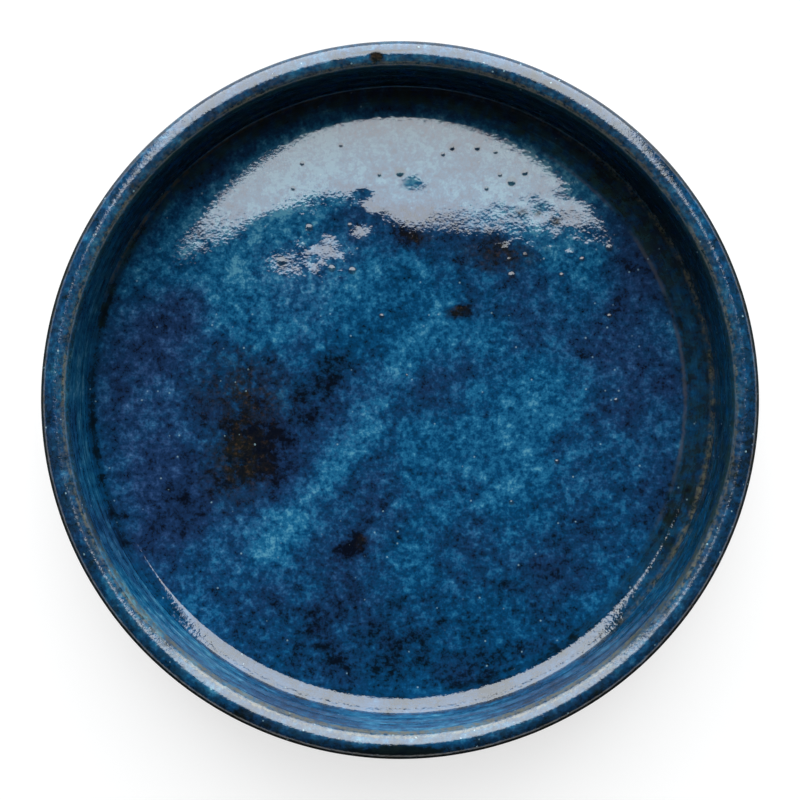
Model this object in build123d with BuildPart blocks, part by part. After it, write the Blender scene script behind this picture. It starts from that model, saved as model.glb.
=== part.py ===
"""Plant saucer: a round stoneware saucer, thrown on the wheel and glazed, that catches a pot's drips.

Lengths are in millimetres and angles in degrees. The axis of the wheel is Z, and the saucer stands
on the ring under its base, at Z = 0. The section is drawn once, with its radius along X and its
height along Z, and every piece is part of that section turned round the axis. The clay body carries
two fired coats: one poured inside, and one dipped over the rim and down the outside wall.
"""

import os
from math import cos, radians, sin, tan

from build123d import *

# Overall sizes, over the glaze
overall_diameter = 300.0
overall_height = 51.0

# Fired glaze: how thick it lies on the clay, and where the dipped coat stops above the ground
glaze_thickness = 0.8
glaze_line_height = 17.0

# Rim: how round it is, and how much that changes over equal steps from inside to outside. The
# crest comes halfway. The poured coat covers the first step, and the dipped coat the others
rim_round = 5.6
rim_round_shares = (0.93, 1.1, 1.08, 0.97)

# Inside wall: how steep it stands, with hollows left by the fingers that meet in low ridges
wall_angle = 88.6
hollow_count = 3
hollow_swing_angle = 6.5

# Ledge at the foot of the wall: the rounding that carries the wall, and its bevelled lip
ledge_angle = 34.0
ledge_round = 2.2
lip_width = 0.6

# Cove below the ledge, and the gentle slope between the cove and the flat floor
cove_angle = 54.0
cove_round = 7.4
slope_angle = 4.0
slope_width = 7.0

# Floor: the height of its glaze, and of the recess under it
floor_height = 9.0
recess_height = 2.6

# Base: trimmed in two cuts, from this height on the outside wall over a knee to the foot ring. The
# knee and the foot ring are set in from the widest outline
trim_height = 12.0
knee_inset = 4.5
knee_height = 5.6

# Foot ring that the saucer stands on, with sides that slant towards its face
foot_inset = 15.0
foot_width = 13.0
foot_height = 2.4
foot_slant = 0.8


def sine(angle):
    """Sine of an angle in degrees."""
    return sin(radians(angle))


def cosine(angle):
    """Cosine of an angle in degrees."""
    return cos(radians(angle))


def heading(angle):
    """Direction in the section, from level outwards at 0 to straight up at 90."""
    return Vector(cosine(angle), sine(angle))


def arc_run(round_radius, start_angle, end_angle):
    """How far outwards an arc goes between two headings."""
    return round_radius * abs(sine(end_angle) - sine(start_angle))


def arc_rise(round_radius, start_angle, end_angle):
    """How far up or down an arc goes between two headings."""
    return round_radius * abs(cosine(end_angle) - cosine(start_angle))


# The steps of the rim, each with its rounding and the headings at its two ends: upright inside,
# level at the crest and straight down outside
rim_step_angle = 180 / len(rim_round_shares)
rim_steps = []
for number, share in enumerate(rim_round_shares):
    start_angle = 90 - number * rim_step_angle
    rim_steps.append((rim_round * share, start_angle, start_angle - rim_step_angle))
rim_rise = sum(arc_rise(*step) for step in rim_steps[: len(rim_steps) // 2])
rim_run = sum(arc_run(*step) for step in rim_steps)

# Headings at the two ends of a hollow, and at the lip between the cove and the ledge
hollow_start_angle = wall_angle - hollow_swing_angle
hollow_end_angle = wall_angle + hollow_swing_angle
lip_angle = (cove_angle + ledge_angle) / 2

# Heights of the two ends of the inside wall, and the rounding of the hollows between them
slope_rise = slope_width * tan(radians(slope_angle))
cove_rise = arc_rise(cove_round, slope_angle, cove_angle)
lip_rise = lip_width * sine(lip_angle)
ledge_rise = arc_rise(ledge_round, ledge_angle, hollow_start_angle)
wall_foot_height = floor_height + slope_rise + cove_rise + lip_rise + ledge_rise
wall_top_height = overall_height - rim_rise
wall_length = (wall_top_height - wall_foot_height) / sine(wall_angle)
hollow_round = wall_length / (2 * hollow_count * sine(hollow_swing_angle))

# Radius of the wall at its top. The flat floor is as wide as what is left inside the rest
outer_radius = overall_diameter / 2
wall_top_radius = outer_radius - rim_run
wall_run = wall_length * cosine(wall_angle)
ledge_run = arc_run(ledge_round, ledge_angle, hollow_start_angle)
lip_run = lip_width * cosine(lip_angle)
cove_run = arc_run(cove_round, slope_angle, cove_angle)
flat_floor_radius = wall_top_radius - wall_run - ledge_run - lip_run - cove_run - slope_width

# Clay under the glaze, with a straight wall and cove that the glaze fills out
clay_outer_radius = outer_radius - glaze_thickness
clay_wall_radius = wall_top_radius + glaze_thickness
clay_floor_height = floor_height - glaze_thickness
clay_cove_run = (wall_foot_height - clay_floor_height) / tan(radians(cove_angle))

knee_radius = outer_radius - knee_inset
foot_outer_radius = outer_radius - foot_inset
foot_inner_radius = foot_outer_radius - foot_width


def onwards(line, round_radius, start_angle, end_angle):
    """Go on from the end of a line by an arc between two headings."""
    turn = end_angle - start_angle
    return JernArc(start=line @ 1, tangent=heading(start_angle), radius=round_radius, arc_size=turn)


# Open face of the poured coat: floor, slope, cove, lip, ledge and hollowed wall, up to the seam
with BuildLine() as poured_face:
    floor = Line((0, floor_height), (flat_floor_radius, floor_height))
    slope = Line(floor @ 1, floor @ 1 + Vector(slope_width, slope_rise))
    cove = onwards(slope, cove_round, slope_angle, cove_angle)
    lip = Line(cove @ 1, cove @ 1 + heading(lip_angle) * lip_width)
    wall = onwards(lip, ledge_round, ledge_angle, hollow_start_angle)
    for _ in range(hollow_count):
        wall = onwards(wall, hollow_round, hollow_start_angle, hollow_end_angle)
    rim = [onwards(wall, *rim_steps[0])]

# Open face of the dipped coat: from the seam over the crest and down the wall to the glaze line
with BuildLine() as dipped_face:
    for step in rim_steps[1:]:
        rim.append(onwards(rim[-1], *step))
    outside_wall = Line(rim[-1] @ 1, (outer_radius, glaze_line_height + glaze_thickness))

# Corners of the clay under the two coats: one under the end of each step of the rim, from the seam
# outwards, and the others inside from the middle of the floor up to the seam
clay_rim = []
for line, step in zip(rim, rim_steps):
    clay_rim.append(line @ 1 + heading(step[-1] - 90) * glaze_thickness)
clay_inside = [
    (0, clay_floor_height),
    (clay_wall_radius - clay_cove_run, clay_floor_height),
    (clay_wall_radius, wall_foot_height),
    (clay_wall_radius, wall_top_height),
    clay_rim[0],
]
clay_glaze_line = (clay_outer_radius, glaze_line_height)

# Clay body: covered inside and rim, bare base with its trimmed cuts, foot ring and recess
with BuildPart() as clay_body:
    with BuildSketch(Plane.XZ):
        with BuildLine():
            Polyline(*clay_inside)
            Polyline(
                *clay_rim,
                (clay_outer_radius, trim_height),
                (knee_radius, knee_height),
                (foot_outer_radius, foot_height),
                (foot_outer_radius - foot_slant, 0),
                (foot_inner_radius + foot_slant, 0),
                (foot_inner_radius, recess_height),
                (0, recess_height),
                clay_inside[0],
            )
        make_face()
    revolve(axis=Axis.Z)
clay_body.part.label = "clay_body"

# Inside glaze: the poured coat, from the middle of the floor up to the seam inside the rim
with BuildPart() as inside_glaze:
    with BuildSketch(Plane.XZ):
        with BuildLine():
            add(poured_face.line)
            Polyline(*clay_inside)
            Line(clay_rim[0], rim[0] @ 1)
            Line(clay_inside[0], floor @ 0)
        make_face()
    revolve(axis=Axis.Z)
inside_glaze.part.label = "inside_glaze"

# Outside glaze: the dipped coat, from the seam over the rim and down the wall to its bevelled edge
with BuildPart() as outside_glaze:
    with BuildSketch(Plane.XZ):
        with BuildLine():
            add(dipped_face.line)
            Polyline(*clay_rim, clay_glaze_line)
            Line(clay_rim[0], rim[0] @ 1)
            Line(clay_glaze_line, outside_wall @ 1)
        make_face()
    revolve(axis=Axis.Z)
outside_glaze.part.label = "outside_glaze"

os.makedirs("parts", exist_ok=True)
export_step(clay_body.part, "parts/clay_body.step")
export_step(inside_glaze.part, "parts/inside_glaze.step")
export_step(outside_glaze.part, "parts/outside_glaze.step")

print(f"flat floor to radius {flat_floor_radius:.2f}, hollows of radius {hollow_round:.2f}")
print(f"wall {wall_length:.2f} long, from height {wall_foot_height:.2f}")
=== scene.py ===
"""A thrown stoneware plant saucer with a mottled blue glaze, laid out as a Blender add-on.

The section of each piece is drawn point by point at Y = 0, as on paper, and turned round the axis of
the wheel. Lengths are in metres, or in millimetres where a comment says so, and places on the saucer
are read from straight above, with +Y towards the top of the picture.
"""

from math import atan2, cos, degrees, hypot, pi, radians, sin, tan

import bmesh
import bpy
from bpy.props import FloatProperty, FloatVectorProperty, IntProperty, PointerProperty
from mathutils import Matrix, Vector


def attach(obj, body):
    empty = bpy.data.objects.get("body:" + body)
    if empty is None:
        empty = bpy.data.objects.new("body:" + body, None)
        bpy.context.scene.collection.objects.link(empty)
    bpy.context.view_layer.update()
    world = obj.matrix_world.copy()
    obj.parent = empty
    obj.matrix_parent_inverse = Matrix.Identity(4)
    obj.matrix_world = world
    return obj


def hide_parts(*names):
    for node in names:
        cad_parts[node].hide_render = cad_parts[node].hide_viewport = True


bl_info = {
    "name": "Plant saucer",
    "version": (1, 0, 0),
    "blender": (4, 5, 0),
    "location": "View3D > Sidebar > Saucer",
    "description": "Builds a glazed stoneware plant saucer and the studio it stands in",
    "category": "Add Mesh",
}

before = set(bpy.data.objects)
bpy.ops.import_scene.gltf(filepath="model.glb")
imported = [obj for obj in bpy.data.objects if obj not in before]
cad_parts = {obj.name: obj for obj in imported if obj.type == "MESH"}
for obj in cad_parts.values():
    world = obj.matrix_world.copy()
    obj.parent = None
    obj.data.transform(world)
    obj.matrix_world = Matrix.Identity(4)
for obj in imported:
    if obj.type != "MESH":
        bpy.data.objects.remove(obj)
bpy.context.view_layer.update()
MM = 0.001


def linear(colour):
    """Turn an sRGB hex colour into linear light, with full alpha."""
    light = []
    for place in (1, 3, 5):
        level = int(colour[place : place + 2], 16) / 255
        light.append(level / 12.92 if level <= 0.04045 else ((level + 0.055) / 1.055) ** 2.4)
    return light + [1.0]


def colour_setting(name, colour, description):
    """A colour that can be changed in the panel."""
    return FloatVectorProperty(
        name=name,
        description=description,
        subtype="COLOR",
        size=4,
        min=0,
        max=1,
        default=linear(colour),
    )


def length_setting(name, millimetres, description):
    """A length that can be changed in the panel."""
    return FloatProperty(name=name, description=description, unit="LENGTH", default=millimetres * MM)


# Sizes and colours


class SaucerSizes(bpy.types.PropertyGroup):
    """Sizes of the thrown and glazed form."""

    outer_radius: length_setting("Outer radius", 149.998, "Radius over the glaze")
    height: length_setting("Height", 51, "Height over the glaze")
    floor_height: length_setting("Floor height", 9, "Height of the glaze on the floor")
    floor_radius: length_setting("Floor radius", 116.5, "Radius of the flat part of the floor")
    floor_round: length_setting("Floor rounding", 239, "Rounding where the floor starts to rise")
    slope_round: length_setting("Slope rounding", 60, "Rounding that goes on into the slope")
    cove_radius: length_setting("Cove radius", 130.64, "Radius where the cove begins")
    cove_height: length_setting("Cove height", 9.49, "Height where the cove begins")
    cove_round: length_setting("Cove rounding", 7.0, "Rounding of the cove")
    ledge_round: length_setting("Ledge rounding", 2.2, "Rounding that carries the inside wall")
    lip_width: length_setting("Lip width", 2.38, "Width of the bevelled lip under the ledge")
    wall_radius: length_setting("Wall radius", 138.25, "Radius at the top of the inside wall")
    wall_foot: length_setting("Wall foot", 14.46, "Height of the foot of the inside wall")
    wall_top: length_setting("Wall top", 45.51, "Height of the top of the inside wall")
    hollow_round: length_setting("Hollow rounding", 45.73, "Rounding of a finger hollow")
    seam_round: length_setting("Seam rounding", 5.208, "Rounding of the rim up to the seam")
    crest_round: length_setting("Crest rounding", 6.16, "Rounding from the seam to the crest")
    shoulder_round: length_setting("Shoulder rounding", 6.048, "Rounding outside the crest")
    edge_round: length_setting("Edge rounding", 5.432, "Rounding into the outside wall")
    crest_inset: length_setting("Crest inset", 5.868, "How far in the crest lies")
    throwing_round: length_setting("Throwing rounding", 72.07, "Rounding of a hollow outside")
    glaze_thickness: length_setting("Glaze thickness", 0.8, "Thickness of the fired coats")
    glaze_line: length_setting("Glaze line", 17, "Height where the dipped coat stops")
    bead_round: length_setting("Bead rounding", 0.9, "Rounding of the glaze line's bead")
    trim_height: length_setting("Trim height", 12, "Height up to which the base is trimmed")
    knee_inset: length_setting("Knee inset", 4.5, "How far in the knee lies")
    knee_height: length_setting("Knee height", 5.6, "Height where the two trimmed cuts meet")
    foot_inset: length_setting("Foot inset", 15, "How far in the foot ring stands")
    foot_width: length_setting("Foot width", 13, "Width of the foot ring")
    foot_height: length_setting("Foot height", 2.4, "Height of the foot ring outside")
    foot_slant: length_setting("Foot slant", 0.8, "How far in its sides slant")
    recess_height: length_setting("Recess height", 2.6, "Height of the recess over the ground")
    trim_round: length_setting("Trim rounding", 0.7, "Rounding of the trimmed corners")
    groove_round: length_setting("Groove rounding", 82.7, "Rounding of a groove in the recess")
    turns: IntProperty(name="Steps round", description="Steps that a section is turned in", default=512)


class GlazeColours(bpy.types.PropertyGroup):
    """Colours that the glaze breaks into."""

    depth: colour_setting("Depth", "#02131d", "Darkest of the teal glaze")
    blue: colour_setting("Blue", "#07436a", "Most of the teal glaze")
    teal: colour_setting("Teal", "#20688e", "Where copper shows")
    milk: colour_setting("Milk", "#5290a8", "Crystals in the teal glaze")
    night: colour_setting("Night", "#060c19", "Darkest of the navy glaze")
    navy: colour_setting("Navy", "#1a355a", "Most of the navy glaze")
    slate: colour_setting("Slate", "#34527c", "Where cobalt shows")
    lilac: colour_setting("Lilac", "#627aa2", "Crystals in the navy glaze")
    soot: colour_setting("Soot", "#1b1b18", "Burnt to brown black")
    rust: colour_setting("Rust", "#3c2e20", "Iron that bleeds through")
    olive: colour_setting("Olive", "#274636", "Thin over dark clay")
    tan: colour_setting("Tan", "#76705a", "Thin on a raised edge")
    bronze: colour_setting("Bronze", "#1c2c28", "Where the glaze thins on a round edge")
    haze: colour_setting("Haze", "#5e5c62", "Mauve grey along the shore")
    crystal: colour_setting("Crystal", "#9fc0c8", "Pale specks")


class ClayColours(bpy.types.PropertyGroup):
    """Colours of the bare fired clay."""

    body: colour_setting("Clay", "#8a6a50", "Fired stoneware")
    dark: colour_setting("Toasted clay", "#644a38", "Where the flame toasted it")
    flashed: colour_setting("Flashed clay", "#7a4a2e", "Orange flash next to the glaze")
    grog: colour_setting("Grog", "#bfae94", "Pale ground-up clay")
    iron: colour_setting("Iron", "#2a1d16", "Dark iron specks")


class StudioSettings(bpy.types.PropertyGroup):
    """The window, the surroundings and the camera."""

    camera_height: length_setting("Camera height", 751, "Height over the ground")
    lens: FloatProperty(name="Lens", description="Focal length in millimetres", default=75.96)
    floor_colour: colour_setting("Floor", "#989694", "Pale floor of the studio")
    floor_glow: FloatProperty(name="Floor glow", description="Radiance that the floor shows", default=0.72)
    horizon_light: FloatProperty(name="Horizon", description="Radiance near the horizon", default=0.85)
    overhead_light: FloatProperty(name="Overhead", description="Radiance from overhead", default=0.014)
    window_radiance: FloatProperty(name="Window light", description="Radiance of the window", default=4.5)
    window_colour: FloatVectorProperty(
        name="Window colour", description="Slightly cool daylight", subtype="COLOR", default=(0.95, 1.0, 1.04)
    )
    window_foot: length_setting("Window foot", 2070, "How far off the foot of the window stands")
    window_top: length_setting("Window top", 1050, "How far off its leaning top is")
    window_height: length_setting("Window height", 9570, "How high the window reaches")
    window_width: length_setting("Window width", 3600, "How wide the window is")


# Drawing a section and turning it


def pen_place():
    """Radius and height of the last point drawn."""
    mesh = bmesh.from_edit_mesh(bpy.context.object.data)
    point = next(vertex for vertex in mesh.verts if vertex.select)
    return point.co.x, point.co.z


def start_section(name, radius, height):
    """Add a new piece that is one point, the start of its section."""
    bpy.ops.object.select_all(action="DESELECT")
    bpy.ops.mesh.primitive_plane_add(size=MM)
    bpy.context.object.name = name
    bpy.ops.object.mode_set(mode="EDIT")
    bpy.ops.mesh.select_all(action="SELECT")
    bpy.ops.mesh.merge(type="CENTER")
    bpy.ops.transform.translate(value=(radius, 0, height))


def line_to(radius, height, steps=1):
    """Draw a straight line from the last point."""
    start_radius, start_height = pen_place()
    step = ((radius - start_radius) / steps, 0, (height - start_height) / steps)
    for _ in range(steps):
        bpy.ops.mesh.extrude_vertices_move(TRANSFORM_OT_translate={"value": step})


def line_along(length, heading, steps=1):
    """Draw a straight line of this length and heading, in degrees over level."""
    radius, height = pen_place()
    line_to(radius + length * cos(radians(heading)), height + length * sin(radians(heading)), steps)


def arc_on(rounding, start_heading, end_heading, steps):
    """Draw an arc that turns between two headings, to the left where the second is larger."""
    radius, height = pen_place()
    side = 1 if end_heading > start_heading else -1
    angle = radians(start_heading)
    centre = (radius - side * rounding * sin(angle), 0, height + side * rounding * cos(angle))
    bpy.ops.mesh.spin(steps=steps, angle=radians(end_heading - start_heading), center=centre, axis=(0, 1, 0))


def rounded_line(corners, rounding, steps=1):
    """Draw straight lines from corner to corner, rounding each one off, and stop at the last."""
    for corner, following in zip(corners, corners[1:]):
        corner = Vector(corner)
        before = corner - Vector(pen_place())
        after = Vector(following) - corner
        start_heading = degrees(atan2(before.y, before.x))
        end_heading = degrees(atan2(after.y, after.x))
        setback = rounding * tan(radians(abs(end_heading - start_heading)) / 2)
        line_to(*(corner - before.normalized() * setback), steps)
        arc_on(rounding, start_heading, end_heading, steps=4)
    line_to(*corners[-1], steps)


def turn_section(turns):
    """Close the section, turn it once round the wheel's axis and weld it into a shell."""
    bpy.ops.mesh.select_all(action="SELECT")
    bpy.ops.mesh.remove_doubles(threshold=0.01 * MM)
    bpy.ops.mesh.spin(steps=turns, angle=2 * pi, center=(0, 0, 0), axis=(0, 0, 1), use_auto_merge=True)
    bpy.ops.mesh.select_all(action="SELECT")
    bpy.ops.mesh.remove_doubles(threshold=0.001 * MM)
    bpy.ops.mesh.normals_make_consistent(inside=False)
    bpy.ops.mesh.select_all(action="DESELECT")
    bpy.ops.object.mode_set(mode="OBJECT")
    bpy.ops.object.shade_smooth_by_angle(angle=radians(38))
    return bpy.context.object


def fade(value, low, high):
    """0 below the low value, 1 above the high one and a smooth rise between them."""
    share = min(max((value - low) / (high - low), 0), 1)
    return share * share * (3 - 2 * share)


def weigh(piece, name, weight_at):
    """Give each point of a piece a weight that is worked out from its place."""
    group = piece.vertex_groups.new(name=name)
    for vertex in piece.data.vertices:
        weight = weight_at(*vertex.co)
        if weight > 0:
            group.add([vertex.index], weight, "REPLACE")


def ripple(piece, name, size, depth, direction, mid_level=0.5):
    """Move the points of the weighed region of this name in soft waves of this size and depth."""
    waves = bpy.data.textures.new(name, "CLOUDS")
    waves.noise_scale = size
    waves.noise_depth = 1
    bpy.ops.object.modifier_add(type="DISPLACE")
    displace = piece.modifiers[-1]
    displace.texture = waves
    displace.texture_coords = "LOCAL"
    displace.direction = direction
    displace.strength = depth
    displace.mid_level = mid_level
    displace.vertex_group = name
    bpy.ops.object.modifier_apply(modifier=displace.name)
    bpy.data.textures.remove(waves)


def press(piece, x, y, height, move, reach):
    """Push the point nearest to a place by a move, and its surroundings with it out to the reach."""
    place = Vector((x, y, height))
    nearest = min(piece.data.vertices, key=lambda vertex: (vertex.co - place).length_squared)
    for vertex in piece.data.vertices:
        vertex.select = vertex.index == nearest.index
    bpy.ops.object.mode_set(mode="EDIT")
    bpy.ops.transform.translate(
        value=move,
        use_proportional_edit=True,
        proportional_edit_falloff="SMOOTH",
        proportional_size=reach,
    )
    bpy.ops.mesh.select_all(action="DESELECT")
    bpy.ops.object.mode_set(mode="OBJECT")


# Materials


def add(tree, kind, settings, inputs, out=0):
    """Add a shader node with its settings and its inputs, linked or constant, and give one output."""
    node = tree.nodes.new("ShaderNode" + kind)
    for name, value in settings.items():
        setattr(node, name, value)
    for name, value in inputs.items():
        if isinstance(value, bpy.types.NodeSocket):
            tree.links.new(value, node.inputs[name])
        else:
            node.inputs[name].default_value = value
    return node.outputs[out]


def spot(tree, place, x, y, length, width, turn, softness):
    """A soft-edged oval seen from above, 1 inside it and 0 outside, with its sizes in millimetres."""
    inputs = {
        "Vector": place,
        "Location": (x * MM, y * MM, 0),
        "Rotation": (0, 0, radians(turn)),
        "Scale": (length * MM / 2, width * MM / 2, 1),
    }
    oval = add(tree, "Mapping", {"vector_type": "TEXTURE"}, inputs)
    away = add(tree, "VectorMath", {"operation": "LENGTH"}, {0: oval}, out=1)
    return rise(tree, away, 1 + softness, max(1 - softness, 0))


def rise(tree, value, low, high, before=0.0, after=1.0):
    """A strength that changes smoothly while the value goes from low to high, or down to a lower one."""
    ends = {"Value": value, "From Min": low, "From Max": high, "To Min": before, "To Max": after}
    return add(tree, "MapRange", {"interpolation_type": "SMOOTHSTEP"}, ends)


def between(tree, value, before, after, low=0.0, high=1.0):
    """A strength that changes evenly while the value goes from low to high."""
    ends = {"Value": value, "From Min": low, "From Max": high, "To Min": before, "To Max": after}
    return add(tree, "MapRange", {}, ends)


def meet(tree, mask, *others):
    """Where masks meet, or a mask or pattern at this strength."""
    for other in others:
        mask = add(tree, "Math", {"operation": "MULTIPLY"}, {0: mask, 1: other})
    return mask


def strongest(tree, mask, other):
    """The stronger of two masks."""
    return add(tree, "Math", {"operation": "MAXIMUM"}, {0: mask, 1: other})


def shift(tree, tone, mask, amount):
    """Raise or lower the glaze's tone inside a mask."""
    return add(tree, "Math", {"operation": "MULTIPLY_ADD"}, {0: mask, 1: amount, 2: tone})


def over(tree, mask, below, above):
    """Lay one colour over another where the mask is 1."""
    return add(tree, "Mix", {"data_type": "RGBA"}, {0: mask, 6: below, 7: above}, out=2)


def cloudy(tree, place, size, detail=2.0, roughness=0.55):
    """Soft cloudy pattern of this size in millimetres, from 0 to 1 round 0.5."""
    inputs = {"Vector": place, "Scale": 1 / (size * MM), "Detail": detail, "Roughness": roughness}
    return add(tree, "TexNoise", {}, inputs)


def wander(tree, place, size, reach):
    """Places that stray by up to half this reach in millimetres, so that edges get uneven."""
    inputs = {"Vector": place, "Scale": 1 / (size * MM), "Detail": 2.0, "Roughness": 0.6}
    stray = add(tree, "TexNoise", {}, inputs, out=1)
    centred = add(tree, "VectorMath", {"operation": "SUBTRACT"}, {0: stray, 1: (0.5, 0.5, 0.5)})
    reach = (reach * MM,) * 3
    return add(tree, "VectorMath", {"operation": "MULTIPLY_ADD"}, {0: centred, 1: reach, 2: place})


def section_place(tree, place):
    """Radius, height, direction round the axis, and place in the section, of each point."""
    height = add(tree, "SeparateXYZ", {}, {0: place}, out=2)
    level = add(tree, "VectorMath", {"operation": "MULTIPLY"}, {0: place, 1: (1, 1, 0)})
    radius = add(tree, "VectorMath", {"operation": "LENGTH"}, {0: level}, out=1)
    around = add(tree, "VectorMath", {"operation": "NORMALIZE"}, {0: level})
    section = add(tree, "CombineXYZ", {}, {0: radius, 2: height})
    return radius, height, around, section


def ring(tree, section, line, half_width, softness=0.5):
    """A band round the saucer along a (radius, height) line, with its sizes in millimetres."""
    radius, height = line
    centre = (radius * MM, 0, height * MM)
    away = add(tree, "VectorMath", {"operation": "DISTANCE"}, {0: section, 1: centre}, out=1)
    return rise(tree, away, half_width * (1 + softness) * MM, half_width * (1 - softness) * MM)


def facing(tree, around, direction, half_width, softness):
    """The part of the saucer that lies in this direction from the middle, in degrees from +X."""
    towards = (cos(radians(direction)), sin(radians(direction)), 0)
    share = add(tree, "VectorMath", {"operation": "DOT_PRODUCT"}, {0: around, 1: towards}, out=1)
    return rise(tree, share, cos(radians(half_width + softness)), cos(radians(max(half_width - softness, 0))))


# Tones that the four colours of a palette are reached at, from dark to milky
PALETTE_TONES = (0.04, 0.5, 0.78, 1.0)


def palette(tree, tone, colours):
    """Colour a tone from 0 to 1 by four colours, from dark to milky."""
    ramp = tree.nodes.new("ShaderNodeValToRGB")
    stops = ramp.color_ramp.elements
    while len(stops) < len(colours):
        stops.new(0.5)
    for stop, stop_tone, colour in zip(stops, PALETTE_TONES, colours):
        stop.position = stop_tone
        stop.color = colour
    tree.links.new(tone, ramp.inputs[0])
    return ramp.outputs[0]


def new_material(name):
    """A material, its tree with nothing else in it, and the place of each point on the piece."""
    material = bpy.data.materials.new(name)
    material.use_nodes = True
    tree = material.node_tree
    tree.nodes.clear()
    place = add(tree, "TexCoord", {}, {}, out=3)
    return material, tree, place


def finish_material(tree, surface):
    """Connect the shader to the material's output."""
    output = tree.nodes.new("ShaderNodeOutputMaterial")
    tree.links.new(surface, output.inputs["Surface"])


# Streaks are a cloudy pattern from a circle this small, drawn out to the saucer's size
STREAK_CIRCLE = (18 * MM, 18 * MM, 0)


def mottling(tree, place, frayed_section, streaked, hue_ends, hue_speckle):
    """Tone and hue of the glaze before any patch: drift and mottling, under specks or streaks round it."""
    radius, height, around, _ = frayed_section
    drift = cloudy(tree, place, 38, 3.0)
    mottle = cloudy(tree, place, 7, 4.0, 0.66)
    specks = {"Vector": place, "Scale": 1 / (2.0 * MM), "Detail": 2.0, "Roughness": 0.65}
    specks = add(tree, "SeparateXYZ", {}, {0: add(tree, "TexNoise", {}, specks, out=1)})
    tone_specks = specks.node.outputs[0]
    hue_specks = specks.node.outputs[1]
    across = add(tree, "CombineXYZ", {}, {2: shift(tree, height, radius, -1.0)})
    drawn_out = {0: around, 1: STREAK_CIRCLE, 2: across}
    drawn_out = add(tree, "VectorMath", {"operation": "MULTIPLY_ADD"}, drawn_out)
    streak = cloudy(tree, drawn_out, 2.4, 3.0, 0.65)
    grain = add(tree, "Mix", {"data_type": "FLOAT"}, {0: streaked, 2: tone_specks, 3: streak})
    tone = shift(tree, -0.97, drift, 0.6)
    tone = shift(tree, tone, mottle, 1.2)
    tone = shift(tree, tone, grain, 1.12)
    hue = between(tree, drift, *hue_ends, 0.35, 0.62)
    hue = shift(tree, hue, mottle, 0.8)
    hue = shift(tree, hue, hue_specks, hue_speckle)
    return tone, hue


def patched(tree, place, patches, tone, hue):
    """Shift tone and hue inside each patch of a table."""
    for *oval, tone_shift, hue_shift in patches:
        patch = spot(tree, place, *oval)
        tone = shift(tree, tone, patch, tone_shift)
        hue = shift(tree, hue, patch, hue_shift)
    return tone, hue


def glaze_colour(tree, colours, tone, hue):
    """Colour of the glaze from its tone, dark to milky, and its hue, navy to teal."""
    navy = palette(tree, tone, (colours.night, colours.navy, colours.slate, colours.lilac))
    teal = palette(tree, tone, (colours.depth, colours.blue, colours.teal, colours.milk))
    return over(tree, add(tree, "Clamp", {}, {0: hue}), navy, teal)


def burnt_brown(tree, place, size, low, high, colours):
    """Soot that breaks to rust in specks of this size in millimetres."""
    rusty = rise(tree, cloudy(tree, place, size, 2.0, 0.7), low, high)
    return over(tree, rusty, colours.soot, colours.rust)


def thin_glaze(tree, place, colours):
    """Where the glaze is thinnest on an edge, and its colour there: bronze that breaks to tan."""
    tan_streaks = rise(tree, cloudy(tree, place, 1.8, 2.0, 0.7), 0.36, 0.6)
    return tan_streaks, over(tree, tan_streaks, colours.bronze, colours.tan)


def crystals(tree, place, spacing, fewest, size):
    """Pale crystals in some cells of this spacing in millimetres, each a share of its cell in size."""
    cells = add(tree, "TexVoronoi", {}, {"Vector": place, "Scale": 1 / (spacing * MM), "Randomness": 1.0})
    chosen = rise(tree, cells.node.outputs["Color"], fewest, fewest + 0.04)
    return meet(tree, rise(tree, cells, size, size - 0.07), chosen)


def glaze_surface(tree, colour, relief, gloss):
    """Pigmented glaze under a clear glassy skin, which breaks up reflections by its relief."""
    bump = add(tree, "Bump", {}, {"Strength": 1.0, "Distance": 1.0, "Height": relief})
    inputs = {
        "Base Color": colour,
        "Roughness": between(tree, gloss, 0.75, 0.3),
        "IOR": 1.5,
        "Specular IOR Level": 0.0,
        "Coat Weight": gloss,
        "Coat Roughness": 0.012,
        "Coat IOR": 1.8,
        "Normal": bump,
        "Coat Normal": bump,
    }
    return add(tree, "BsdfPrincipled", {}, inputs)


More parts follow.
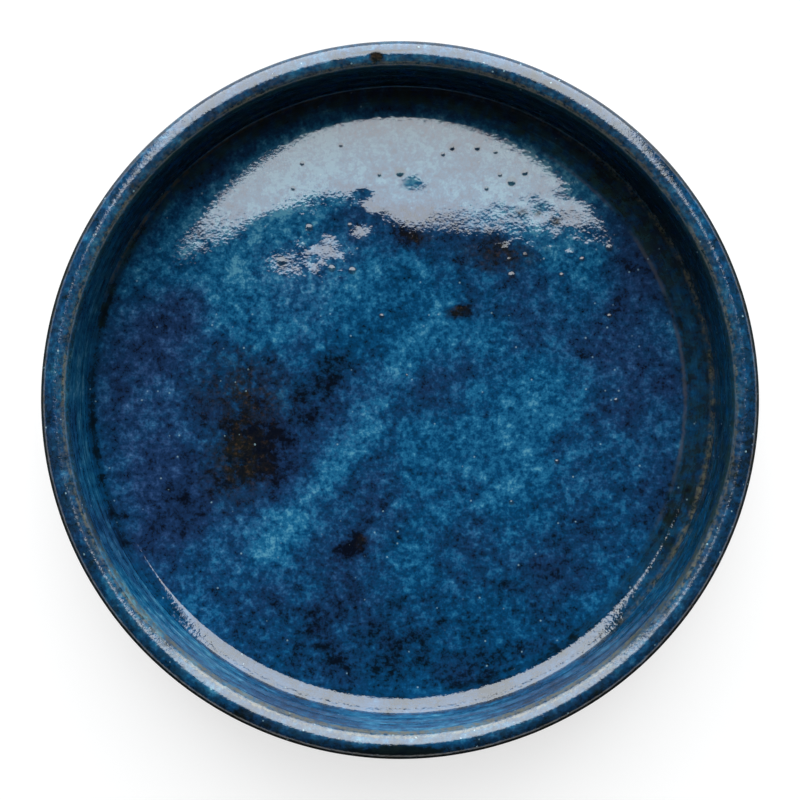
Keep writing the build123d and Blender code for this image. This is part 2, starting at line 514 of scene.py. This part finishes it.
# Patches of the floor's glaze, seen from above in millimetres: x, y, length, width and turn, how soft
# the edge is, and how much the patch shifts tone (dark to milky) and hue (navy to teal)
FLOOR_PATCHES = (
    (-70, -25, 25, 34, -14, 0.6, -0.36, -0.1),
    (-71, 0, 36, 36, 10, 0.98, -0.1, 0.0),
    (-76, -12, 70, 72, 20, 0.98, -0.1, -0.3),
    (-58, -22, 20, 24, 40, 0.6, -0.16, -0.2),
    (-36, 4, 38, 13, 57, 0.75, -0.26, -0.2),
    (-33, 14, 14, 12, 50, 0.8, -0.12, -0.2),
    (-26, -20, 116, 17, 54, 0.8, 0.22, 0.4),
    (-62, -58, 46, 22, 15, 0.8, 0.18, 0.3),
    (-45, 50, 80, 36, 8, 0.8, 0.2, 0.2),
    (-8, 38, 46, 24, 52, 0.8, -0.08, 0.4),
    (-108, 0, 46, 80, 0, 0.8, 0.02, -0.6),
    (-95, -45, 50, 40, 30, 0.8, -0.04, -0.4),
    (112, 12, 44, 120, 0, 0.8, -0.04, -0.5),
    (56, -4, 70, 66, 0, 0.8, 0.05, 0.1),
    (84, -68, 90, 50, 40, 0.8, -0.12, -0.2),
    (10, -106, 170, 40, 0, 0.8, -0.15, 0.0),
    (5, -72, 90, 40, 0, 0.9, -0.04, 0.0),
    (6, -122, 84, 26, 0, 0.8, -0.15, -0.1),
    (27, 39.4, 12, 6, 3, 0.5, -0.45, -0.4),
    (5, 71, 14, 9, -20, 0.8, -0.36, -0.4),
    (40, 66, 34, 14, 0, 0.9, -0.2, -0.3),
    (-18, -64, 9, 9, 25, 0.7, -0.45, -0.3),
    (-25, -67, 9, 5, 25, 0.7, -0.3, -0.3),
)

# Patches burnt to brown: x, y, length, width, turn, softness
BURNT_PATCHES = (
    (-70, -24, 25, 36, -14, 0.8),
    (-69, 3, 32, 28, 0, 0.98),
    (27, 39.4, 10, 5, 3, 0.7),
    (44, 64, 30, 10, 0, 0.98),
    (7, 71, 12, 6, -20, 0.98),
    (61, 84, 6, 4, 30, 0.6),
    (70, 79, 6, 4, 30, 0.6),
    (52, 82, 6, 3, 30, 0.8),
    (-17, -63, 5, 5, 25, 0.9),
)

# Patches where the levelled skin stayed uneven: x, y, length, width, turn, softness and how uneven
LIVELY_PATCHES = (
    (46, 80, 60, 16, 0, 0.6, 0.2),
    (-36, 68, 36, 20, 20, 0.7, 0.07),
    (10, 92, 28, 12, 0, 0.6, 0.1),
    (-93, 65, 26, 14, 30, 0.7, 0.11),
    (-36, 83, 30, 12, 10, 0.7, 0.05),
)

# Blisters in the poured glaze: x, y and radius
BLISTERS = (
    (69, -27, 1), (49, -45, 1), (95, 0, 1), (92, 37, 1), (3, 11, 0.5),
    (-8, 37, 1), (46, 67, 1.5), (49, 55, 1.5), (48, 62, 1), (55, 64, 1),
    (92, 67, 1.5), (71, 55, 1), (80, 62, 1), (-52, 61, 2), (-30, 58, 1.5),
    (-21, 57, 1.5), (-40, 76, 1.5), (-22, 77, 1), (-26, 112, 1), (-43, 104, 1),
    (-47, 93, 1), (-9, 99, 1), (0, 100, 2), (23, 111, 1.5), (34, 111, 1.5),
    (42, 109, 1), (55, 100, 1.5), (49, 96, 2), (44, 99, 1), (38, 93, 1),
    (19, 108, 1),
)

# Lines round the saucer that the glazes change at: radius and height in millimetres
SHORE = (125.3, 9.1)
GUTTER = (134.9, 11.6)
LIP = (136.5, 13.0)
LEDGE = (137.0, 13.4)
TOP_OF_WALL = (138.7, 47.4)
SEAM_BELOW = (139.7, 49.1)
SEAM_ABOVE = (140.2, 49.5)
INNER_ROUND = (141.4, 50.1)
SHOULDER = (149.4, 47.1)
BEAD = (150, 18.2)
LOWER_EDGE = (149.3, 17.0)

# The cove's dark glaze reaches farther in on the right, because its ring is set off to the left
COVE_SHADE_CENTRE = (-4.6 * MM, 0, 0)


def poured_glaze(colours):
    """Runny cobalt and copper glaze, poured: specked, burnt brown in one cloud, thin and tan on edges."""
    material, tree, place = new_material("poured_cobalt_glaze")
    strayed = wander(tree, place, 12, 12)
    strayed_little = wander(tree, place, 1.6, 0.7)
    frayed = wander(tree, place, 2.5, 1.6)
    frayed_section = section_place(tree, frayed)
    radius, height, around, section = frayed_section
    on_wall = rise(tree, height, 13.7 * MM, 15.5 * MM)
    cove_place = add(tree, "VectorMath", {"operation": "MULTIPLY"}, {0: frayed, 1: (1, 1, 0)})
    cove_place = {0: cove_place, 1: COVE_SHADE_CENTRE}
    cove_away = add(tree, "VectorMath", {"operation": "DISTANCE"}, cove_place, out=1)
    in_cove = rise(tree, cove_away, 127.5 * MM, 131 * MM)
    above = facing(tree, around, 88, 62, 34)
    right = facing(tree, around, 8, 40, 34)
    left = facing(tree, around, 190, 44, 26)
    below = facing(tree, around, 268, 48, 30)

    streaked = meet(tree, in_cove, 0.7)
    tone, hue = mottling(tree, place, frayed_section, streaked, (-0.74, 0.06), 1.2)
    tone, hue = patched(tree, strayed, FLOOR_PATCHES, tone, hue)

    # Painted reflection: milkier and more teal along the shore that the window is reflected in, which tints
    # that reflection
    painted_reflection_tint = meet(tree, rise(tree, radius, 78 * MM, 98 * MM), rise(tree, radius, 127.5 * MM, 123.5 * MM))
    painted_reflection_tint = meet(tree, painted_reflection_tint, facing(tree, around, 90, 46, 14))
    tone = shift(tree, tone, painted_reflection_tint, 0.3)
    hue = shift(tree, hue, painted_reflection_tint, 0.5)

    # Throwing lines run round the cove and the wall
    thrown = between(tree, cloudy(tree, section, 1.1, 2.0, 0.6), -0.5, 0.5)
    thrown = meet(tree, in_cove, thrown)
    tone = shift(tree, tone, thrown, 0.7)

    # The cove is darker, most of all on the right and least towards the picture's top, and the wall lighter,
    # most of all on the left
    tone = shift(tree, tone, in_cove, -0.08)
    tone = shift(tree, tone, meet(tree, in_cove, above), 0.07)
    tone = shift(tree, tone, meet(tree, in_cove, right), -0.06)
    tone = shift(tree, tone, on_wall, 0.06)
    # Painted shade: the wall is darkened towards the picture's top, where it faces away from the window
    tone = shift(tree, tone, meet(tree, on_wall, above), -0.16)
    tone = shift(tree, tone, meet(tree, on_wall, left), 0.2)
    # Painted light: the wall is lifted towards the picture's foot, where it faces the window
    tone = shift(tree, tone, meet(tree, on_wall, below), 0.14)
    hue = shift(tree, hue, in_cove, 0.35)
    gutter = meet(tree, ring(tree, section, GUTTER, 2.0), facing(tree, around, 172, 28, 14))
    tone = shift(tree, tone, gutter, -0.22)
    colour = glaze_colour(tree, colours, tone, hue)

    # Brown burns through in patches of the floor, and dark mottles in the soot colour lie on the right of the
    # cove
    brown = burnt_brown(tree, place, 2.2, 0.5, 0.7, colours)
    burnt = 0.0
    for oval in BURNT_PATCHES:
        burnt = strongest(tree, spot(tree, strayed, *oval), burnt)
    ragged = rise(tree, cloudy(tree, place, 3.6, 4.0, 0.75), 0.34, 0.66)
    colour = over(tree, meet(tree, burnt, ragged), colour, brown)
    mottles = meet(tree, shift(tree, in_cove, on_wall, -1.0), right, ragged, 0.6)

    # Olive shows where the glaze lies thin over dark clay, along the upper and right part of the cove
    olive = rise(tree, cloudy(tree, place, 5, 3.0, 0.65), 0.4, 0.58)
    upper = strongest(tree, above, meet(tree, right, 0.4))
    olive = meet(tree, in_cove, upper, olive, between(tree, on_wall, 0.6, 0.7))
    colour = over(tree, olive, colour, colours.olive)
    colour = over(tree, mottles, colour, colours.soot)

    # Bronze and tan break through on the raised lines, and haze lies along the shore of the floor
    tan_streaks, thin = thin_glaze(tree, place, colours)
    # The raised top of the wall breaks to bronze; the tan laid over it towards the picture's foot, where the
    # wall faces the window, is painted light
    bronze = over(tree, meet(tree, below, 0.7), colours.bronze, colours.tan)
    top_of_wall = meet(tree, ring(tree, section, TOP_OF_WALL, 1.5, 0.6), between(tree, tan_streaks, 0.3, 0.8))
    colour = over(tree, top_of_wall, colour, bronze)
    seam = ring(tree, section, SEAM_BELOW, 0.7)
    patchy = rise(tree, cloudy(tree, place, 14, 3.0, 0.6), 0.38, 0.6)
    colour = over(tree, meet(tree, seam, between(tree, patchy, 0.1, 0.4)), colour, thin)
    mottled = meet(tree, rise(tree, cloudy(tree, place, 4, 3.0, 0.7), 0.36, 0.62), 0.8)
    ledge = meet(tree, ring(tree, section, LEDGE, 1.7, 0.7), facing(tree, around, 16, 50, 26), mottled)
    colour = over(tree, ledge, colour, over(tree, 0.15, thin, colours.soot))
    upper_lip = meet(tree, ring(tree, section, LIP, 0.9), facing(tree, around, 128, 26, 10), mottled)
    colour = over(tree, upper_lip, colour, over(tree, 0.5, colours.rust, colours.tan))
    shore = meet(tree, ring(tree, section, SHORE, 0.7, 0.8), facing(tree, around, 20, 42, 12))
    colour = over(tree, meet(tree, shore, patchy, 0.4), colour, colours.haze)

    crystal = crystals(tree, place, 4.8, 0.64, 0.12)
    colour = over(tree, meet(tree, crystal, 0.45), colour, colours.crystal)

    # How far off the nearest blister is, in its own radii
    blister = 9.0
    for x, y, size in BLISTERS:
        ends = {0: strayed_little, 1: (x * MM, y * MM, 9 * MM)}
        away = add(tree, "VectorMath", {"operation": "DISTANCE"}, ends, out=1)
        shares = {0: meet(tree, away, 1 / (size * MM)), 1: blister}
        blister = add(tree, "Math", {"operation": "MINIMUM"}, shares)
    colour = over(tree, meet(tree, rise(tree, blister, 1.5, 0.9), 0.55), colour, colours.soot)

    # The floor has levelled out flat, its edge less so, and the cove and the wall keep a livelier skin
    ripples = meet(tree, cloudy(tree, place, 1.4, 1.0), 0.0045 * MM)
    skin = meet(tree, cloudy(tree, place, 1.8, 2.0, 0.6), 0.13 * MM)
    shore_skin = between(tree, radius, 0.01, 0.14, 98 * MM, 122 * MM)
    steep_skin = between(tree, facing(tree, around, 262, 70, 22), 0.22, 0.85)
    liveliness = strongest(tree, meet(tree, in_cove, steep_skin), shore_skin)
    for *oval, extra in LIVELY_PATCHES:
        liveliness = shift(tree, liveliness, spot(tree, strayed, *oval), extra)
    relief = shift(tree, ripples, skin, liveliness)
    relief = shift(tree, relief, thrown, 0.03 * MM)
    relief = shift(tree, relief, rise(tree, blister, 1.0, 0.0), 0.1 * MM)

    # The skin is glassiest in the cove, a little thinner on the floor, and dull on the wall and where burnt
    gloss = between(tree, in_cove, 0.87, 1.0)
    gloss = shift(tree, gloss, on_wall, -0.55)
    gloss = shift(tree, gloss, meet(tree, burnt, ragged), -0.6)
    gloss = shift(tree, gloss, seam, 0.15)
    finish_material(tree, glaze_surface(tree, colour, relief, gloss))
    return material


# Chip in the rim: its place, depth and reach in millimetres
CHIP_X = -9.9
CHIP_Y = 142.4
CHIP_HEIGHT = 50.7
CHIP_DEPTH = 0.45
CHIP_REACH = 3.2

# Patches of the rim's glaze: x, y, length, width, turn, softness, and shifts of tone and hue
RIM_PATCHES = (
    (CHIP_X, CHIP_Y, 5, 4, 4, 0.5, -0.8, -0.3),
    (-8, 144.6, 24, 1.4, 3, 0.6, -0.6, -0.3),
    (-1.3, -145.8, 34, 5, 0, 0.5, -0.62, -0.2),
    (-66, -130, 20, 5, 27, 0.9, -0.25, -0.2),
    (60, 132, 24, 3, -24, 0.6, -0.35, -0.3),
    (-24, 142, 8, 5, 8, 0.6, -0.35, -0.2),
)


def dipped_glaze(colours):
    """The same glaze, dipped: mottled on the rim, burnt dry on its outer shoulder, in runs down the wall."""
    material, tree, place = new_material("dipped_cobalt_glaze")
    strayed = wander(tree, place, 3, 2.4)
    frayed = wander(tree, place, 2.2, 1.0)
    frayed_section = section_place(tree, frayed)
    radius, height, around, section = frayed_section
    on_wall = rise(tree, height, 45 * MM, 42 * MM)
    streaked = meet(tree, on_wall, 0.6)
    tone, hue = mottling(tree, place, frayed_section, streaked, (-0.8, -0.2), 1.4)

    # Greener and lighter inside the rim, and darker on its right
    inner = rise(tree, radius, 146.5 * MM, 141.5 * MM)
    tone = shift(tree, tone, facing(tree, around, 20, 42, 20), -0.1)
    tone = shift(tree, tone, inner, 0.1)
    hue = shift(tree, hue, inner, 0.3)
    # Painted shade: the outside of the rim is darker towards the picture's foot, where it faces away from the
    # window
    outer = meet(tree, rise(tree, radius, 143.5 * MM, 147 * MM), facing(tree, around, 262, 50, 20))
    tone = shift(tree, tone, outer, -0.14)
    tone, hue = patched(tree, strayed, RIM_PATCHES, tone, hue)
    tone = shift(tree, tone, ring(tree, section, BEAD, 1.6, 0.8), -0.3)
    colour = glaze_colour(tree, colours, tone, hue)

    # Bronze where the glaze thins, brown on the dry shoulder and in the chip, tan along the coat's edges
    thinned = rise(tree, cloudy(tree, place, 5, 4.0, 0.7), 0.3, 0.7)
    colour = over(tree, meet(tree, thinned, 0.5), colour, colours.bronze)
    brown = burnt_brown(tree, place, 1.8, 0.42, 0.6, colours)
    shoulder = ring(tree, section, SHOULDER, 2.5, 0.18)
    shoulder = shift(tree, shoulder, meet(tree, shoulder, facing(tree, around, 92, 46, 20)), -0.6)
    colour = over(tree, meet(tree, shoulder, 0.85), colour, over(tree, 0.5, brown, colours.bronze))
    chip = spot(tree, strayed, CHIP_X, CHIP_Y + 0.2, 4.4, 3.0, 4, 0.5)
    colour = over(tree, chip, colour, brown)
    tan_streaks, thin = thin_glaze(tree, place, colours)
    patchy = rise(tree, cloudy(tree, place, 14, 3.0, 0.6), 0.38, 0.6)
    seam = meet(tree, ring(tree, section, SEAM_ABOVE, 0.7), between(tree, patchy, 0.25, 0.65))
    colour = over(tree, seam, colour, thin)
    inner_round = meet(tree, ring(tree, section, INNER_ROUND, 1.6, 0.8), tan_streaks, 0.16)
    colour = over(tree, inner_round, colour, thin)
    colour = over(tree, ring(tree, section, LOWER_EDGE, 0.7, 0.6), colour, thin)
    crystal = crystals(tree, place, 3.5, 0.62, 0.15)
    colour = over(tree, meet(tree, crystal, 0.7), colour, colours.crystal)

    # A lively glassy skin, gone on the dry shoulder and in the chip
    skin = meet(tree, cloudy(tree, place, 1.8, 3.0, 0.7), 0.11 * MM)
    gloss = shift(tree, 1.0, shoulder, -1.0)
    gloss = shift(tree, gloss, meet(tree, chip, gloss), -0.9)
    finish_material(tree, glaze_surface(tree, colour, skin, gloss))
    return material


def bare_stoneware(colours):
    """Bare fired stoneware, trimmed on the wheel: matt and toasted, with pale grog in it."""
    material, tree, place = new_material("bare_stoneware")
    _, height, _, section = section_place(tree, place)
    toast = cloudy(tree, place, 45, 4.0, 0.6)
    grog = cloudy(tree, place, 1.1, 1.0, 0.5)
    colour = over(tree, rise(tree, toast, 0.35, 0.65), colours.body, colours.dark)
    flashed = rise(tree, height, 12.5 * MM, 16.5 * MM)
    colour = over(tree, meet(tree, flashed, 0.6), colour, colours.flashed)
    turning = cloudy(tree, section, 0.9, 2.0, 0.6)
    colour = over(tree, meet(tree, rise(tree, turning, 0.45, 0.7), 0.35), colour, colours.dark)
    colour = over(tree, rise(tree, grog, 0.66, 0.72), colour, colours.grog)
    specks = cloudy(tree, place, 2.1, 0.0, 0.5)
    colour = over(tree, rise(tree, specks, 0.74, 0.78), colour, colours.iron)
    relief = shift(tree, meet(tree, turning, 0.12 * MM), grog, 0.08 * MM)
    bump = add(tree, "Bump", {}, {"Strength": 1.0, "Distance": 1.0, "Height": relief})
    inputs = {"Base Color": colour, "Roughness": 0.85, "IOR": 1.5, "Normal": bump}
    finish_material(tree, add(tree, "BsdfPrincipled", {}, inputs))
    return material


def seat(piece, node, material):
    """Give a finished piece its material and let it stand for its node."""
    piece.data.materials.clear()
    piece.data.materials.append(material)
    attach(piece, "root")
    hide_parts(node)


# Shapes


# Headings in the section, in degrees over level outwards: from the end of the floor's first rounding
# up to the seam, and of the clay's hidden face under the cove
TURN_UP_HEADING = 1.8
SLOPE_HEADING = 4
COVE_HEADING = 42
LIP_HEADING = 44.4
LEDGE_HEADING = 34
WALL_HEADING = 88.6
SEAM_HEADING = 45
HIDDEN_HEADING = 54

# How far the heading swings to either side in a finger hollow, a hollow outside and a turning groove
FINGER_SWING = 6.5
THROWING_SWING = 3.5
GROOVE_SWING = 3

HOLLOW_COUNT = 3
GROOVE_COUNT = 14


def eighth_turn(rounding):
    """How far level and how far down an arc goes from the crest through an eighth of a turn."""
    angle = radians(SEAM_HEADING)
    return rounding * sin(angle), rounding * (1 - cos(angle))


def rim_corners(sizes):
    """Corners of the clay under the rim, from the seam over the crest to the outside wall."""
    thickness = sizes.glaze_thickness
    top = sizes.height - thickness
    crest = sizes.outer_radius - sizes.crest_inset
    seam_run, seam_drop = eighth_turn(sizes.crest_round - thickness)
    shoulder_run, shoulder_drop = eighth_turn(sizes.shoulder_round - thickness)
    edge_drop = eighth_turn(sizes.edge_round - thickness)[0]
    return [
        (crest - seam_run, top - seam_drop),
        (crest, top),
        (crest + shoulder_run, top - shoulder_drop),
        (sizes.outer_radius - thickness, top - shoulder_drop - edge_drop),
    ]


def hidden_corners(sizes):
    """Corners of the clay under the poured coat, from the top of the wall to the middle of the floor."""
    clay_wall = sizes.wall_radius + sizes.glaze_thickness
    clay_floor = sizes.floor_height - sizes.glaze_thickness
    return [
        (clay_wall, sizes.wall_top),
        (clay_wall, sizes.wall_foot),
        (clay_wall - (sizes.wall_foot - clay_floor) / tan(radians(HIDDEN_HEADING)), clay_floor),
        (0, clay_floor),
    ]


# Dents that the levelling glaze kept on the floor: x, y, depth and reach in millimetres. Broad sags pull
# the lower edge of the window's reflection down, and small pits open gaps and leave islands of light
DENTS = (
    (60, 70, 0.27, 75),
    (-60, 80, 0.14, 45),
    (-28, 68, 0.25, 34),
    (-55, 65, 0.09, 20),
    (5, 90, 0.15, 11),
    (-18, 78, 0.05, 9),
    (-15, 88, 0.05, 8),
    (-33, 74, 0.06, 9),
    (-37, 68, 0.04, 6),
    (74, 85, 0.04, 11),
    (61, 82, 0.04, 6),
    (69, 78, 0.03, 5),
)

# Where the floor keeps quick waves: x, y, and how far from there they end and are full
QUICK_WAVES = (
    (62, 74, 44, 16),
    (-92, 64, 18, 5),
    (-34, 68, 18, 8),
)


class SAUCER_OT_inside_glaze(bpy.types.Operator):
    """Pour the coat inside: floor, slope, cove, ledge and finger-hollowed wall up to the seam"""

    bl_idname = "saucer.inside_glaze"
    bl_label = "Inside glaze"
    bl_options = {"REGISTER", "UNDO"}

    def execute(self, context):
        sizes = context.scene.saucer_sizes
        floor = sizes.floor_height
        start_section("poured_coat", 0, floor)
        line_to(sizes.floor_radius, floor, steps=68)
        # The floor turns up so softly that the light on it fades before the slope begins
        arc_on(sizes.floor_round, 0, TURN_UP_HEADING, steps=6)
        arc_on(sizes.slope_round, TURN_UP_HEADING, SLOPE_HEADING, steps=3)
        line_to(sizes.cove_radius, sizes.cove_height, steps=4)
        arc_on(sizes.cove_round, SLOPE_HEADING, COVE_HEADING, steps=16)
        line_along(sizes.lip_width, LIP_HEADING, steps=6)
        arc_on(sizes.ledge_round, LEDGE_HEADING, WALL_HEADING - FINGER_SWING, steps=8)
        for _ in range(HOLLOW_COUNT):
            arc_on(sizes.hollow_round, WALL_HEADING - FINGER_SWING, WALL_HEADING + FINGER_SWING, steps=9)
        arc_on(sizes.seam_round, 90, SEAM_HEADING, steps=8)
        line_to(*rim_corners(sizes)[0])
        for corner in hidden_corners(sizes):
            line_to(*corner, steps=3)
        line_to(0, floor)
        piece = turn_section(sizes.turns)

        # Waves left in the levelled glaze, quicker along the lower edge of the window's reflection
        def on_floor(x, y, z):
            return fade(hypot(x, y), 126 * MM, 105 * MM) * (z > floor - 0.3 * MM)

        def in_places(x, y, z):
            shares = []
            for centre_x, centre_y, end, full in QUICK_WAVES:
                away = hypot(x - centre_x * MM, y - centre_y * MM)
                shares.append(fade(away, end * MM, full * MM))
            return max(shares) * on_floor(x, y, z)

        weigh(piece, "slow_waves", on_floor)
        weigh(piece, "quick_waves", in_places)
        ripple(piece, "slow_waves", 40 * MM, 0.02 * MM, "Z")
        ripple(piece, "quick_waves", 5 * MM, 0.06 * MM, "Z")
        for x, y, depth, reach in DENTS:
            press(piece, x * MM, y * MM, floor, (0, 0, -depth * MM), reach * MM)
        seat(piece, "inside_glaze", poured_glaze(context.scene.glaze_colours))
        return {"FINISHED"}


class SAUCER_OT_outside_glaze(bpy.types.Operator):
    """Dip the rim and the outside wall down to the glaze line"""

    bl_idname = "saucer.outside_glaze"
    bl_label = "Outside glaze"
    bl_options = {"REGISTER", "UNDO"}

    def execute(self, context):
        sizes = context.scene.saucer_sizes
        line = sizes.glaze_line
        seam_run, seam_drop = eighth_turn(sizes.crest_round)
        seam = (sizes.outer_radius - sizes.crest_inset - seam_run, sizes.height - seam_drop)
        start_section("dipped_coat", *seam)
        arc_on(sizes.crest_round, SEAM_HEADING, 0, steps=9)
        arc_on(sizes.shoulder_round, 0, -SEAM_HEADING, steps=9)
        arc_on(sizes.edge_round, -SEAM_HEADING, -90, steps=9)
        # Shallow throwing hollows, then a bead where the coat ran down and stopped
        for _ in range(HOLLOW_COUNT):
            arc_on(sizes.throwing_round, -90 - THROWING_SWING, -90 + THROWING_SWING, steps=9)
        line_to(sizes.outer_radius, line + sizes.bead_round, steps=3)
        arc_on(sizes.bead_round, -90, -170, steps=6)
        line_to(sizes.outer_radius - sizes.glaze_thickness, line)
        for corner in reversed(rim_corners(sizes)):
            line_to(*corner, steps=2)
        line_to(*seam)
        piece = turn_section(sizes.turns)

        def low_edge(x, y, z):
            return fade(z, line + 7 * MM, line + 1.5 * MM)

        def on_crest(x, y, z):
            return fade(hypot(x, y), 142 * MM, 144 * MM) * fade(z, 45 * MM, 48 * MM)

        weigh(piece, "glaze_line", low_edge)
        weigh(piece, "crest", on_crest)
        ripple(piece, "glaze_line", 16 * MM, 2.6 * MM, "Z", 0)
        ripple(piece, "crest", 14 * MM, 0.12 * MM, "NORMAL", 1)
        press(piece, CHIP_X * MM, CHIP_Y * MM, CHIP_HEIGHT * MM, (0, 0, -CHIP_DEPTH * MM), CHIP_REACH * MM)
        seat(piece, "outside_glaze", dipped_glaze(context.scene.glaze_colours))
        return {"FINISHED"}


class SAUCER_OT_clay(bpy.types.Operator):
    """Throw the clay body, with its trimmed base, foot ring and recess"""

    bl_idname = "saucer.clay"
    bl_label = "Clay body"
    bl_options = {"REGISTER", "UNDO"}

    def execute(self, context):
        sizes = context.scene.saucer_sizes
        wall = sizes.outer_radius - sizes.glaze_thickness
        foot = sizes.outer_radius - sizes.foot_inset
        inner = foot - sizes.foot_width
        recess = sizes.recess_height
        start_section("thrown_clay", 0, recess)
        # The turning tool leaves shallow grooves in the recess
        for _ in range(GROOVE_COUNT):
            arc_on(sizes.groove_round, GROOVE_SWING, -GROOVE_SWING, steps=5)
        corners = [
            (inner, recess),
            (inner + sizes.foot_slant, 0),
            (foot - sizes.foot_slant, 0),
            (foot, sizes.foot_height),
            (sizes.outer_radius - sizes.knee_inset, sizes.knee_height),
            (wall, sizes.trim_height),
            (wall, sizes.glaze_line),
        ]
        rounded_line(corners, sizes.trim_round, steps=4)
        for corner in reversed(rim_corners(sizes)):
            line_to(*corner, steps=2)
        for corner in hidden_corners(sizes):
            line_to(*corner, steps=2)
        line_to(0, recess)
        piece = turn_section(sizes.turns)

        # Bare faces: the recess, the foot ring's sides and the cuts, but not the face on the ground
        def bare(x, y, z):
            shown = z < 8 * MM or hypot(x, y) > 141 * MM
            return shown * fade(z, 0.3 * MM, 0.8 * MM) * fade(z, 13 * MM, 10 * MM)

        weigh(piece, "bare", bare)
        ripple(piece, "bare", 7 * MM, 0.14 * MM, "NORMAL", 1)
        seat(piece, "clay_body", bare_stoneware(context.scene.clay_colours))
        return {"FINISHED"}


# Width of the studio's floor in metres
STUDIO_WIDTH = 36


class SAUCER_OT_studio(bpy.types.Operator):
    """Set up the pale floor, the leaning window, the surroundings and the camera overhead"""

    bl_idname = "saucer.studio"
    bl_label = "Studio"
    bl_options = {"REGISTER", "UNDO"}

    def execute(self, context):
        settings = context.scene.studio
        bpy.ops.object.select_all(action="DESELECT")
        bpy.ops.mesh.primitive_plane_add(size=STUDIO_WIDTH)
        floor = context.object
        floor.name = "studio_floor"
        # The floor glows to whatever looks at it, but lights nothing
        material, tree, _ = new_material("pale_studio_floor")
        rays = tree.nodes.new("ShaderNodeLightPath").outputs
        seen = rays["Is Camera Ray"]
        for ray in ("Is Glossy Ray", "Is Transmission Ray"):
            seen = strongest(tree, seen, rays[ray])
        inputs = {
            "Base Color": settings.floor_colour,
            "Roughness": 0.9,
            "Emission Color": (1, 1, 1, 1),
            "Emission Strength": meet(tree, seen, settings.floor_glow),
        }
        finish_material(tree, add(tree, "BsdfPrincipled", {}, inputs))
        floor.data.materials.append(material)

        # The window leans over the saucer, so that its reflections taper towards their ends
        lean = atan2(settings.window_foot - settings.window_top, settings.window_height)
        length = settings.window_height / cos(lean)
        bpy.ops.object.light_add(
            type="AREA",
            location=(0, (settings.window_foot + settings.window_top) / 2, settings.window_height / 2),
            rotation=(lean - pi / 2, 0, 0),
        )
        window = context.object
        window.name = "tall_window"
        window.data.shape = "RECTANGLE"
        window.data.size = settings.window_width
        window.data.size_y = length
        window.data.color = settings.window_colour
        window.data.energy = settings.window_radiance * pi * settings.window_width * length
        window.visible_camera = False

        world = bpy.data.worlds.new("studio_surroundings")
        context.scene.world = world
        world.use_nodes = True
        sky = world.node_tree
        sky.nodes.clear()
        towards = add(sky, "TexCoord", {}, {})
        upward = add(sky, "SeparateXYZ", {}, {0: towards}, out=2)
        level = rise(sky, upward, 0.04, 0.13, settings.horizon_light, settings.overhead_light)
        background = add(sky, "Background", {}, {"Color": (1, 1, 1, 1), "Strength": level})
        output = sky.nodes.new("ShaderNodeOutputWorld")
        sky.links.new(background, output.inputs["Surface"])

        bpy.ops.object.camera_add(location=(0, 0, settings.camera_height), rotation=(0, 0, 0))
        camera = context.object
        camera.name = "overhead_camera"
        camera.data.sensor_width = 36
        camera.data.lens = settings.lens
        camera.data.clip_end = 100
        context.scene.camera = camera
        context.scene.view_settings.view_transform = "Standard"
        return {"FINISHED"}


class SAUCER_PT_panel(bpy.types.Panel):
    """Lists the pieces of the saucer with their sizes and colours"""

    bl_idname = "SAUCER_PT_panel"
    bl_label = "Plant saucer"
    bl_space_type = "VIEW_3D"
    bl_region_type = "UI"
    bl_category = "Saucer"

    def draw(self, context):
        layout = self.layout
        for operator in operators:
            layout.operator(operator.bl_idname)
        for name, group in settings_groups.items():
            box = layout.box()
            box.label(text=group.__doc__)
            for setting in group.__annotations__:
                box.prop(getattr(context.scene, name), setting)


operators = (SAUCER_OT_inside_glaze, SAUCER_OT_outside_glaze, SAUCER_OT_clay, SAUCER_OT_studio)
settings_groups = {
    "saucer_sizes": SaucerSizes,
    "glaze_colours": GlazeColours,
    "clay_colours": ClayColours,
    "studio": StudioSettings,
}


def register():
    """Add the panel, its operators and settings."""
    for group in (*settings_groups.values(), *operators, SAUCER_PT_panel):
        bpy.utils.register_class(group)
    for name, group in settings_groups.items():
        setattr(bpy.types.Scene, name, PointerProperty(type=group))


def unregister():
    """Take them out again."""
    for name in settings_groups:
        delattr(bpy.types.Scene, name)
    for group in (SAUCER_PT_panel, *operators, *settings_groups.values()):
        bpy.utils.unregister_class(group)


def main():
    """Make the saucer and its studio."""
    register()
    bpy.ops.saucer.inside_glaze()
    bpy.ops.saucer.outside_glaze()
    bpy.ops.saucer.clay()
    bpy.ops.saucer.studio()


if __name__ == "__main__":
    main()
